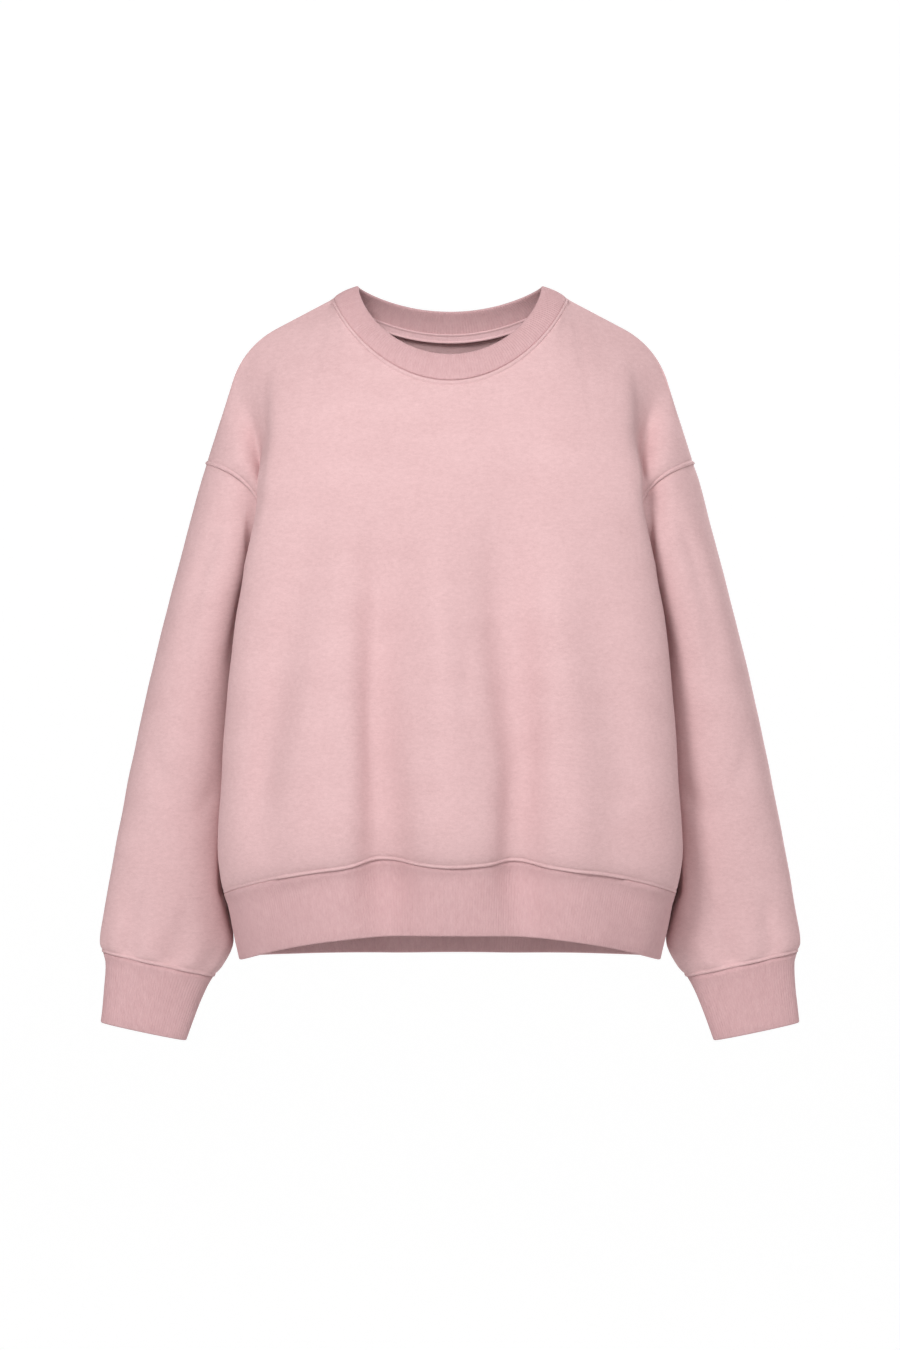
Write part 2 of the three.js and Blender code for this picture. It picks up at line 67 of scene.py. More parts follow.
def table(columns, rows):
    return [dict(zip(columns.split(), row)) for row in rows]


# Value of a column between the rows of a table, on a smooth curve through them.
def read(rings, column, down):
    row = 0
    while row < len(rings) - 2 and down > rings[row + 1]["down"]:
        row += 1
    a, b = rings[row], rings[row + 1]
    before, after = rings[max(row - 1, 0)], rings[min(row + 2, len(rings) - 1)]
    slopeA = (b[column] - before[column]) / (b["down"] - before["down"])
    slopeB = (after[column] - a[column]) / (after["down"] - a["down"])
    span = b["down"] - a["down"]
    t = (down - a["down"]) / span
    t2, t3 = t * t, t * t * t
    return (a[column] * (2 * t3 - 3 * t2 + 1) + b[column] * (3 * t2 - 2 * t3)
            + span * (slopeA * (t3 - 2 * t2 + t) + slopeB * (t3 - t2)))


neck = dict(seamHalf=112, seamTop=-2, seamFrontDrop=83.5, seamBackDrop=36,
            seamFrontDepth=80, seamBackDepth=50, rimHalf=89, rimTop=9, rimFrontDrop=69.5, rimBackDrop=21,
            rimFrontDepth=71, rimBackDepth=45, shoulderAngle=50, seamFrontPower=1.55, seamBackPower=1.8,
            rimFrontPower=1.25, rimBackPower=1.85, swell=1.6, swellRise=0.4)
shoulder = dict(slope=27.6, run=64, roundRadius=85, dropSlope=72.6, dropRun=84.6, tipBack=12)
armhole = dict(underarmX=-177, underarmZ=-262, bow=25.5, frontDepth=56, backDepth=55)
body = dict(square=2.7, pinchReach=58, foldFrom=-620, foldGrowth=0.75, foldLevel=0.35)
yoke = dict(shoulderFall=3, neckFall=1.3, foldStart=3, foldReach=42, straightReach=36, capReach=9,
            edgeReach=22, foldSettles=0.42, foldEnds=0.62, crowd=0.8, fallReach=15, freeFrom=18,
            freeFull=40, evenFrom=0.5)
sleeve = dict(square=2.15, squareReach=0.3, clearance=4, clearanceReach=0.08, clearEnds=1.4,
              rounding=8, roundingReach=0.2, leastRounding=0.01, pushReach=0.04, pushFades=(0.9, 1.1),
              gathers=9, gatherDepth=1.6, gatherReach=0.12, gatherEnds=0.985)

# down is 0 at the underarm, 1 at the hem seam and 2 at the free edge of the hem band.
bodyRings = table("down side rise half front back pinch", (
    (0.00, -262, 0, 219, 132, 112, 42),
    (0.06, -280, 0, 222, 134, 113, 48),
    (0.18, -318, 2, 228, 137, 114, 47),
    (0.42, -394, 8, 234, 140, 115, 39),
    (0.66, -470, 17, 237, 141, 117, 30),
    (0.86, -536, 26, 238, 141, 117, 20),
    (0.95, -565, 30, 233, 137, 114, 14),
    (1.00, -579, 31, 226, 131, 110, 8),
    (1.10, -586, 31, 219, 127, 107, 4),
    (1.50, -610, 30, 212, 125, 105, 2),
    (2.00, -642, 28, 204, 121, 102, 1)))

# down is 0 at the armhole, 1 at the cuff seam and 2 at the cuff's free edge. This is the right sleeve.
sleeveRings = table("down outX outZ inX inZ front back middle", (
    (0.00, -235, -160, -177, -262, 56, 55, 12),
    (0.04, -241, -178, -189, -266, 57, 57, 13),
    (0.14, -254, -226, -192, -303, 59, 60, 15),
    (0.34, -279, -322, -197, -376, 58, 66, 20),
    (0.56, -304, -428, -203, -464, 54, 60, 26),
    (0.78, -325, -533, -208, -560, 43, 47, 31),
    (0.93, -338, -604, -208, -623, 33, 35, 34),
    (0.98, -341, -628, -222, -650, 29, 30, 35),
    (1.00, -338, -637, -232, -661, 26, 27, 35),
    (1.12, -335, -646, -238, -669, 23, 24, 35),
    (1.50, -336, -672, -248, -692, 19, 19, 34),
    (2.00, -339.5, -706, -259, -723, 15, 15, 33)))

# Upright folds that run the length of the body, by where they start and end across the panel.
bodyFolds = table("side highX lowX start depth width", (
    (1, -124, -176, -120, 7, 26),
    (1, -46, -60, -90, 9, 26),
    (1, 47, 73, -90, 10, 26),
    (1, 130, 172, -120, 7, 26),
    (-1, -118, -160, -150, 7, 28),
    (-1, -30, -46, -170, 8, 28),
    (-1, 52, 62, -140, 8, 28),
    (-1, 126, 164, -160, 6, 26)))


# On the neck seam (up 0) or the rim (up 1). turn is 0 at the right shoulder, 90 front, 180 left, 270 back.
def neckPoint(turn, up):
    c, s = math.cos(math.radians(turn)), math.sin(math.radians(turn))
    isFront, depth = s >= 0, abs(s)
    way = -1 if isFront else 1
    end = "Front" if isFront else "Back"
    seamDrop = neck["seam" + end + "Drop"] * depth ** neck["seam" + end + "Power"]
    rimDrop = neck["rim" + end + "Drop"] * depth ** neck["rim" + end + "Power"]
    seamDepth, rimDepth = neck["seam" + end + "Depth"], neck["rim" + end + "Depth"]
    seam = Vector((-neck["seamHalf"] * c, way * seamDepth * depth, neck["seamTop"] - seamDrop))
    rim = Vector((-neck["rimHalf"] * c, way * rimDepth * depth, neck["rimTop"] - rimDrop))
    swell = neck["swell"] * math.sin(math.pi * up)
    return seam.lerp(rim, up) + Vector((-c * swell, way * depth * swell, swell * neck["swellRise"]))


# On the right shoulder line, at a share of the way from the tip (0) to the neck (1).
def shoulderPoint(share):
    a, b = math.radians(shoulder["slope"]), math.radians(shoulder["dropSlope"])
    radius = shoulder["roundRadius"]
    arcRun = radius * (b - a)
    along = (1 - share) * (shoulder["run"] + arcRun + shoulder["dropRun"])
    straight = min(along, shoulder["run"])
    turned = min(max(along - shoulder["run"], 0), arcRun) / radius
    dropped = max(along - shoulder["run"] - arcRun, 0)
    return Vector((
        -neck["seamHalf"] - straight * math.cos(a)
        - radius * (math.sin(a + turned) - math.sin(a)) - dropped * math.cos(b),
        shoulder["tipBack"] * (1 - share),
        neck["seamTop"] - straight * math.sin(a)
        - radius * (math.cos(a) - math.cos(a + turned)) - dropped * math.sin(b)))


# On the right armhole seam. t is 0 at the shoulder tip and 1 at the underarm; side is 1 front, -1 back.
def armholePoint(t, side):
    tip = shoulderPoint(0)
    under = Vector((armhole["underarmX"], shoulder["tipBack"], armhole["underarmZ"]))
    chord = (under - tip).normalized()
    lift = armhole["bow"] * 4 * t * (1 - t)
    depth = armhole["frontDepth" if side > 0 else "backDepth"] * 2 * math.sqrt(max(t * (1 - t), 0))
    return tip.lerp(under, t) + Vector((-chord.z * lift, -side * depth, chord.x * lift))


# How far the cloth sinks in at a place on the front or back panel.
def foldDepth(side, x, z):
    depth = 0
    for fold in bodyFolds:
        if fold["side"] != side:
            continue
        share = (fold["start"] - z) / (fold["start"] - body["foldFrom"])
        middle = lerp(fold["highX"], fold["lowX"], share)
        strength = smoothstep(share, 0, body["foldGrowth"])
        depth += fold["depth"] * strength * (soften((x - middle) / fold["width"]) - body["foldLevel"])
    return depth


# On the closed body tube. angle is 0 at the right side, 90 front, 180 left, -90 back.
def tubeBase(angle, down, drawn):
    c, s = math.cos(math.radians(angle)), math.sin(math.radians(angle))
    offset = bent(s, 2 / body["square"]) * read(bodyRings, "front" if s >= 0 else "back", down)
    pinch = drawn * read(bodyRings, "pinch", down) * flatten(offset / body["pinchReach"])
    return Vector((
        -bent(c, 2 / body["square"]) * read(bodyRings, "half", down) + math.copysign(pinch, c),
        shoulder["tipBack"] - offset,
        read(bodyRings, "side", down) + (read(bodyRings, "rise", down) * s * s if s >= 0 else 0)))


def tubePoint(angle, down):
    point = tubeBase(angle, down, 1)
    s = math.sin(math.radians(angle))
    point.y += foldDepth(1 if s >= 0 else -1, point.x, point.z) * s
    return point


# On the yoke between its top line (t 0) and the underarm ring (t 1), before the armhole shapes it.
def yokeBase(side, a, t):
    neckAngle = neck["shoulderAngle"]
    turn = (a - neckAngle) / (90 - neckAngle) * 90
    top = shoulderPoint((a / neckAngle) ** yoke["crowd"]) if a < neckAngle else neckPoint(side * turn, 0)
    ring = tubeBase(side * a, 0, 0)
    below = tubeBase(side * a, 0.01, 0) - ring
    below *= (ring.z - top.z) / below.z
    span = ring - top
    early, late = t * (1 - t) * (1 - t), t * t * (t - 1)
    fall = lerp(yoke["shoulderFall"], yoke["neckFall"], smoothstep(a, neckAngle - yoke["fallReach"], 90))
    even = smoothstep(t, 0, 1)
    return Vector((top.x + span.x * (even + early) + below.x * late,
                   top.y + span.y * (even + fall * early) + below.y * late,
                   lerp(top.z, ring.z, t)))


# On the yoke as the armhole shapes it. across is 0 at the right side and 180 at the left.
def yokePoint(side, across, t):
    isRight = across <= 90
    a = max(across if isRight else 180 - across, 0)
    point = yokeBase(side, a, t)
    shift = armholePoint(t, side) - yokeBase(side, 0, t)
    low = t ** 4
    pinched = flatten((tubeBase(a, 0, 0).y - shoulder["tipBack"]) / body["pinchReach"])
    settled = smoothstep(t, yoke["foldSettles"], yoke["foldEnds"])
    folded = 1 - smoothstep(a, yoke["foldStart"], yoke["foldReach"])
    straight = max(1 - a / yoke["straightReach"], 0)
    wide = lerp(lerp(folded, straight, settled), pinched, low)
    deep = lerp(soften(a / lerp(yoke["capReach"], yoke["edgeReach"], settled)), pinched, low)
    point += Vector((shift.x * wide, shift.y * deep, shift.z * wide))
    if not isRight:
        point.x *= -1
    freed = smoothstep(a, yoke["freeFrom"], yoke["freeFull"])
    free = lerp(freed, math.sin(math.radians(a)), smoothstep(t, yoke["evenFrom"], 1))
    point.y += side * foldDepth(side, point.x, point.z) * free
    return point


# down is -1 at the top line, 0 at the underarm and above 0 on the tube and the hem band.
def bodyPoint(side, across, down):
    return yokePoint(side, across, 1 + down) if down < 0 else tubePoint(side * across, down)


# The body table's own measure of height, for a height at the side seam.
def bodyDown(height):
    row = 0
    while row < len(bodyRings) - 2 and height < bodyRings[row + 1]["side"]:
        row += 1
    a, b = bodyRings[row], bodyRings[row + 1]
    share = (a["side"] - height) / (a["side"] - b["side"])
    return min(lerp(a["down"], b["down"], share), bodyRings[-1]["down"])


# Keeps a sleeve point outside the body, growing from nothing at the armhole to the full clearance.
def clearOfBody(point, down):
    depthDown = bodyDown(min(point.z, bodyRings[0]["side"]))
    offset = point.y - shoulder["tipBack"]
    depth = read(bodyRings, "front" if offset < 0 else "back", depthDown) + sleeve["clearance"]
    share = abs(offset / depth)
    if share >= 1 or down > sleeve["clearEnds"]:
        return point
    half = (read(bodyRings, "half", depthDown) * (1 - share ** body["square"]) ** (1 / body["square"])
            - read(bodyRings, "pinch", depthDown) * flatten(offset / body["pinchReach"]))
    overlap = point.x + half + sleeve["clearance"] * smoothstep(down, 0, sleeve["clearanceReach"])
    rounding = (sleeve["rounding"] * smoothstep(down, 0, sleeve["roundingReach"])
                + sleeve["leastRounding"])
    push = (overlap + math.sqrt(overlap * overlap + rounding * rounding)) / 2
    point.x -= (push * smoothstep(down, 0, sleeve["pushReach"])
                * (1 - smoothstep(down, *sleeve["pushFades"])))
    return point


# On the right sleeve and cuff. turn is 0 outside, 90 front, 180 inside, 270 back.
def sleevePoint(turn, down):
    c, s = math.cos(math.radians(turn)), math.sin(math.radians(turn))
    if down <= 0:
        return armholePoint((1 - c) / 2, 1 if s >= 0 else -1)
    inner = Vector((read(sleeveRings, "inX", down), 0, read(sleeveRings, "inZ", down)))
    across = Vector((read(sleeveRings, "outX", down), 0, read(sleeveRings, "outZ", down))) - inner
    square = lerp(1, 2 / sleeve["square"], smoothstep(down, 0, sleeve["squareReach"]))
    point = inner + across * (1 + bent(c, square)) / 2
    lift = armhole["bow"] * s * s * (1 - smoothstep(down, 0, sleeve["squareReach"]))
    across.normalize()
    point += Vector((across.z * lift, 0, -across.x * lift))
    gathered = (sleeve["gatherDepth"] * math.cos(math.radians(turn) * sleeve["gathers"])
                * smoothstep(down, 1 - sleeve["gatherReach"], sleeve["gatherEnds"])
                * (1 - smoothstep(down, sleeve["gatherEnds"], 1)))
    depth = read(sleeveRings, "front" if s >= 0 else "back", down) + gathered
    point.y = read(sleeveRings, "middle", down) - bent(s, square) * depth
    return clearOfBody(point, down)


def linear(hexColour):
    parts = [int(hexColour[i:i + 2], 16) / 255 for i in (1, 3, 5)]
    return [x / 12.92 if x <= 0.04045 else ((x + 0.055) / 1.055) ** 2.4 for x in parts] + [1]


def addNode(tree, kind, settings=None, **sockets):
    node = tree.nodes.new(kind)
    for name, value in (settings or {}).items():
        setattr(node, name, value)
    for name, value in sockets.items():
        socket = node.inputs[int(name[1:])] if name[0] == "_" else node.inputs[name.replace("_", " ")]
        if isinstance(value, bpy.types.NodeSocket):
            tree.links.new(value, socket)
        else:
            socket.default_value = value
    return node


# Brushed cotton fleece, garment washed: soft and matt, with a bloom of fine fibre at grazing angles
# and colour that the wash left cloudy, with a fine mottle that runs a little across the cloth.
fleeceLook = dict(light="#d8b5b6", deep="#c8a3a4", roughness=0.94, sheen=0.1, sheenRoughness=0.45,
                  fuzzMm=1.6, napMm=5.5, cloudMm=75, streak=2.2, reliefMm=0.22)
# Rib knit of the same yarn, folded double: firmer and a shade deeper, its ribs are in the mesh.
ribLook = dict(light="#cca7a9", deep="#bf989a", roughness=0.92, sheen=0.1, sheenRoughness=0.4,
               fuzzMm=1.3, napMm=4.0, cloudMm=50, streak=0.5, reliefMm=0.15)
# Narrow knit tape over the neck seam: flat, close-knit and a little smoother.
tapeLook = dict(light="#e2bec0", deep="#d3adaf", roughness=0.88, sheen=0.05, sheenRoughness=0.4,
                fuzzMm=1.0, napMm=3.0, cloudMm=40, streak=1.0, reliefMm=0.1)
# Spun polyester sewing thread in the cloth's colour: tight, with a slight shine.
threadLook = dict(light="#d0a9ab", deep="#bd9093", roughness=0.62, sheen=0.0, sheenRoughness=0.4,
                  fuzzMm=0.8, napMm=2.0, cloudMm=30, streak=1.0, reliefMm=0.03)


weave = dict(noiseRoughness=0.6, cloudShare=0.5, fuzzShare=0.9, low=0.8, high=1.6, napRelief=0.8,
             bumpStrength=0.6, specular=0.15, sheenTint="#fbe6e6")


def clothMaterial(name, look):
    material = bpy.data.materials.new(name)
    material.use_nodes = True
    tree = material.node_tree
    tree.nodes.clear()
    place = addNode(tree, "ShaderNodeTexCoord")
    streaked = addNode(tree, "ShaderNodeMapping", Vector=place.outputs["Object"],
                       Scale=(1, 1, look["streak"]))

    def speckle(sizeMm, detail):
        return addNode(tree, "ShaderNodeTexNoise", Vector=streaked.outputs[0], Scale=1000 / sizeMm,
                       Detail=detail, Roughness=weave["noiseRoughness"]).outputs["Fac"]

    cloud, nap = speckle(look["cloudMm"], 2.0), speckle(look["napMm"], 3.0)
    fuzz = speckle(look["fuzzMm"], 2.0)

    def addTo(value, share, other):
        return addNode(tree, "ShaderNodeMath", dict(operation="MULTIPLY_ADD"),
                       _0=value, _1=share, _2=other).outputs[0]

    mottle = addTo(fuzz, weave["fuzzShare"], addTo(cloud, weave["cloudShare"], nap))
    # the three noises together run from about low to high
    share = addNode(tree, "ShaderNodeMapRange", Value=mottle, From_Min=weave["low"], From_Max=weave["high"])
    colour = addNode(tree, "ShaderNodeMix", dict(data_type="RGBA", blend_type="MIX"), _0=share.outputs[0],
                     _6=linear(look["deep"]), _7=linear(look["light"]))
    bump = addNode(tree, "ShaderNodeBump", Height=addTo(nap, weave["napRelief"], fuzz),
                   Strength=weave["bumpStrength"], Distance=look["reliefMm"] * metre)
    shader = addNode(tree, "ShaderNodeBsdfPrincipled", Base_Color=colour.outputs[2], Normal=bump.outputs[0])
    shader.inputs["Roughness"].default_value = look["roughness"]
    shader.inputs["Specular IOR Level"].default_value = weave["specular"]
    shader.inputs["Sheen Weight"].default_value = look["sheen"]
    shader.inputs["Sheen Roughness"].default_value = look["sheenRoughness"]
    shader.inputs["Sheen Tint"].default_value = linear(weave["sheenTint"])
    end = addNode(tree, "ShaderNodeOutputMaterial")
    tree.links.new(shader.outputs[0], end.inputs["Surface"])
    return material


fleeceCloth = clothMaterial("brushed_cotton_fleece", fleeceLook)
ribCloth = clothMaterial("cotton_rib_knit", ribLook)
tapeCloth = clothMaterial("knit_neck_tape", tapeLook)
sewingThread = clothMaterial("sewing_thread", threadLook)
print("materials made")


# Lines of a panel's grid near each of its edges, in millimetres from the seam.
edgeLines = (0, 0.8, 1.7, 2.7, 3.7, 4.8, 6.2, 8.5)
farFromSeam = 99
relief = dict(reach=12, rise=1.5, fallBefore=0.6, fallAfter=0.8, dip=0.5, dipAfter=1, dipWidth=0.9)
# Slow unevenness grows over the first of these ranges from a seam, and the panels' creases over the second.
unevenRange = (2, 9)
creaseRange = (0, 9)


# Distance from a seam in millimetres at a count of grid lines from it.
def fromSeam(line):
    return edgeLines[line] if line < len(edgeLines) else farFromSeam


# Height of the cloth at a distance from a sewn edge: a groove at the seam, a soft ridge over the seam
# allowance, and a slight dip where the cover stitch pulls it down.
def seamRelief(distance, ridge, width, groove=2.1):
    if distance > relief["reach"]:
        return 0
    risen = smoothstep(distance, 0, relief["rise"])
    fall = smoothstep(distance, width - relief["fallBefore"], width + relief["fallAfter"])
    ridged = ridge * risen * (1 - fall)
    past = distance - width - relief["dipAfter"]
    dipped = relief["dip"] * min(ridge, 1) * soften(past / relief["dipWidth"])
    return ridged - groove * (1 - risen) - dipped


# A cloth surface on a grid. spot(i, j) gives a place in mm and rise(i, j, place) how far the cloth
# stands off it along its normal. Returns the mesh and the places and normals of its lines.
def clothGrid(columns, rows, spot, rise, closed=False, flip=1):
    base = [[spot(i, j) for i in range(columns + 1)] for j in range(rows + 1)]
    normals = []
    for j in range(rows + 1):
        line = []
        for i in range(columns + 1):
            before = (i - 1) % columns if closed else max(i - 1, 0)
            after = (i + 1) % columns if closed else min(i + 1, columns)
            alongU = base[j][after] - base[j][before]
            alongV = base[min(j + 1, rows)][i] - base[max(j - 1, 0)][i]
            line.append(alongU.cross(alongV).normalized() * flip)
        normals.append(line)
    places = [[base[j][i] + normals[j][i] * rise(i, j, base[j][i]) for i in range(columns + 1)]
              for j in range(rows + 1)]
    # Lengths along the rows from the middle column and down the middle one give the UV map in metres.
    middle = columns // 2
    across = []
    for j in range(rows + 1):
        line = [0.0] * (columns + 1)
        for i in range(middle + 1, columns + 1):
            line[i] = line[i - 1] + (places[j][i] - places[j][i - 1]).length
        for i in range(middle - 1, -1, -1):
            line[i] = line[i + 1] - (places[j][i] - places[j][i + 1]).length
        across.append(line)
    downwards = [0.0]
    for j in range(1, rows + 1):
        downwards.append(downwards[-1] + (places[j][middle] - places[j - 1][middle]).length)
    bm = bmesh.new()
    bmesh.ops.create_grid(bm, x_segments=columns, y_segments=rows, size=0.5, calc_uvs=False)
    uvMap = bm.loops.layers.uv.new("UVMap")
    spots = {}
    for vert in bm.verts:
        i, j = round((vert.co.x + 0.5) * columns), round((0.5 - vert.co.y) * rows)
        spots[vert.index] = (i, j)
    for face in bm.faces:
        face.smooth = True
        for loop in face.loops:
            i, j = spots[loop.vert.index]
            loop[uvMap].uv = (across[j][i] * metre, -downwards[j] * metre)
    for vert in bm.verts:
        i, j = spots[vert.index]
        vert.co = places[j][i] * metre
    if closed:
        bmesh.ops.remove_doubles(bm, verts=bm.verts, dist=1e-6)
    return bm, places, normals


def addPiece(name, bm, material, thickness=0):
    mesh = bpy.data.meshes.new(name)
    bm.to_mesh(mesh)
    bm.free()
    mesh.materials.append(material)
    piece = bpy.data.objects.new(name, mesh)
    bpy.context.scene.collection.objects.link(piece)
    if thickness:
        wall = piece.modifiers.new("wall", "SOLIDIFY")
        wall.thickness = thickness * metre
        wall.offset = 0
        wall.use_even_offset = False
    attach(piece, "root")
    return piece


# Distance from a place to a crease's line, above 0 on the right-hand side of the way along it and below
# 0 on the left, and the share of its length where it is nearest.
def nearLine(x, z, points):
    best, where, total = 1e9, 0, 0
    for (ax, az), (bx, bz) in zip(points, points[1:]):
        dx, dz = bx - ax, bz - az
        length = math.hypot(dx, dz)
        t = min(max(((x - ax) * dx + (z - az) * dz) / (length * length), 0), 1)
        gap = math.hypot(x - ax - dx * t, z - az - dz * t)
        if gap < abs(best):
            best, where = math.copysign(gap, (x - ax) * dz - (z - az) * dx), total + t * length
        total += length
    return best, where / total


wander = dict(amount=0.25, waves=7)


# Depth that the listed creases take from the cloth. Each fades towards its ends and wanders in width.
def creaseDepth(creases, x, z):
    depth = 0
    for crease in creases:
        lowX, highX, lowZ, highZ = crease["reach"]
        if lowX < x < highX and lowZ < z < highZ:
            gap, share = nearLine(x, z, crease["line"])
            turn = wander["waves"] * share + crease["line"][0][0]
            spread = crease["width"] * (1 + wander["amount"] * math.sin(turn))
            spread *= crease["lean"] if gap > 0 else 1
            ends = smoothstep(share, 0, crease["fadeIn"]) * (1 - smoothstep(share, 1 - crease["fadeOut"], 1))
            depth += crease["depth"] * ends * soften(gap / spread)
    return depth


# lean is how many times wider the creases are on the right-hand side of the way along their lines.
def makeCreases(rows, lean=1):
    creases = []
    for depth, width, fadeIn, fadeOut, line in rows:
        xs, zs = [p[0] for p in line], [p[1] for p in line]
        margin = width * 3 * max(lean, 1)
        creases.append(dict(depth=depth, width=width, lean=lean, fadeIn=fadeIn, fadeOut=fadeOut, line=line,
                            reach=(min(xs) - margin, max(xs) + margin, min(zs) - margin, max(zs) + margin)))
    return creases


# Slow unevenness of soft cloth, in mm.
def softness(place, size, amount):
    return noise.noise(place / size) * amount


panel = dict(shoulderColumns=36, neckColumns=34, yokeRows=56, bodyRows=68, wall=2.0, unevenMm=0.8,
             unevenSize=46, step=0.02, deepest=-2.4, frontShoulderRidge=(0.1, 2.0), shoulderGroove=0.7,
             sideRidge=(0.15, 2.0), sideGroove=0.9,
             neckRidge=(1.2, 3.8), hemRidge=(1.1, 2.8), armholeRidge=(1.4, 2.6), shoulderRidge=(0.8, 2.4),
             easeReach=10, easeWide=15, easeGrows=(-1, -0.92), easeFades=(-0.5, -0.1), foldEase=9,
             foldGrows=(-0.85, -0.5), foldFades=(-0.3, -0.05), foldSide=(25, 45), leastEase=0.2)

# Soft troughs (above 0) and ridges (below 0): depth, width, fades at both ends, and the line that each
# follows in the front view, x and z. They are placed from the garment's own drape.
frontCreases = makeCreases([
    (17.0, 26, 0.4, 0.25, [(-62, -130), (-69, -270), (-72, -392), (-65, -540), (-60, -650)]),
    (13.5, 26, 0.35, 0.25, [(44, -150), (50, -290), (66, -443), (62, -540), (66, -650)]),
    (10.5, 25, 0.4, 0.3, [(-114, -160), (-140, -275), (-162, -351), (-184, -494), (-190, -560)]),
    (1.5, 23, 0.4, 0.25, [(112, -205), (132, -315), (163, -417), (187, -534), (192, -590)]),
], 0.85) + makeCreases([
    (-3.5, 20, 0.4, 0.3, [(-122, -210), (-132, -270), (-149, -494), (-150, -600)]),
    (-7.0, 22, 0.4, 0.3, [(-16, -180), (-10, -320), (0, -494), (4, -620)]),
    (-3.5, 18, 0.4, 0.3, [(92, -240), (104, -340), (118, -443), (126, -600)]),
    (2.2, 12, 0.5, 0.5, [(-96, -95), (-84, -150), (-60, -215)]),
    (1.8, 13, 0.5, 0.5, [(92, -100), (78, -170), (50, -240)]),
    (1.5, 9, 0.5, 0.5, [(-30, -360), (-22, -430), (-26, -500)]),
    (1.4, 8, 0.5, 0.5, [(22, -300), (14, -380), (18, -440)]),
    (1.6, 10, 0.5, 0.5, [(-118, -380), (-112, -450), (-122, -530)]),
])
backCreases = makeCreases([
    (8.0, 24, 0.35, 0.15, [(-36, -150), (-42, -300), (-47, -430), (-44, -540), (-46, -650)]),
    (8.5, 23, 0.3, 0.15, [(50, -130), (56, -300), (62, -430), (60, -540), (62, -650)]),
    (7.0, 24, 0.4, 0.3, [(-108, -190), (-134, -300), (-158, -420), (-178, -540), (-184, -590)]),
    (6.5, 23, 0.4, 0.3, [(120, -170), (140, -300), (160, -430), (182, -550)]),
], 0.8) + makeCreases([
    (-3.0, 21, 0.4, 0.3, [(-96, -220), (-98, -360), (-106, -600)]),
    (-3.0, 22, 0.4, 0.3, [(6, -180), (8, -340), (10, -610)]),
    (-3.0, 19, 0.4, 0.3, [(96, -230), (108, -360), (118, -590)]),
    (2.4, 12, 0.5, 0.5, [(-104, -80), (-70, -112), (-30, -124)]),
    (2.0, 12, 0.5, 0.5, [(110, -86), (76, -120), (34, -134)]),
    (1.6, 9, 0.5, 0.5, [(20, -330), (28, -400), (22, -470)]),
    (1.5, 9, 0.5, 0.5, [(-86, -420), (-78, -480), (-84, -540)]),
])
# The chest and the back stand over the cloth of the shoulders' ends, with a step that runs on over the
# armhole seams into the sleeves.
frontSteps = makeCreases([
    (8.0, 5, 0.45, 0.25, [(-174, -40), (-177, -85), (-177, -139), (-186, -200), (-196, -245)]),
    (12.5, 4.5, 0.25, 0.45, [(197, -245), (189, -196), (183, -140), (180, -80), (175, -40)]),
], 4.5)
backSteps = makeCreases([
    (7.0, 6, 0.4, 0.25, [(-170, -50), (-176, -100), (-180, -160), (-190, -210), (-200, -245)]),
    (7.5, 6, 0.25, 0.4, [(198, -245), (190, -205), (183, -150), (179, -90), (172, -45)]),
], 3.5)


evenPower = 1.35


# Angle across a half panel for a measure that runs evenly from the side (0) to the middle (1).
def evenAngle(p):
    p = min(max(p, 0.0), 1.0)
    return math.degrees(math.atan2(p ** evenPower, (1 - p) ** evenPower))


def evenMeasure(angle):
    ratio = math.tan(math.radians(angle)) ** (1 / evenPower)
    return ratio / (1 + ratio)


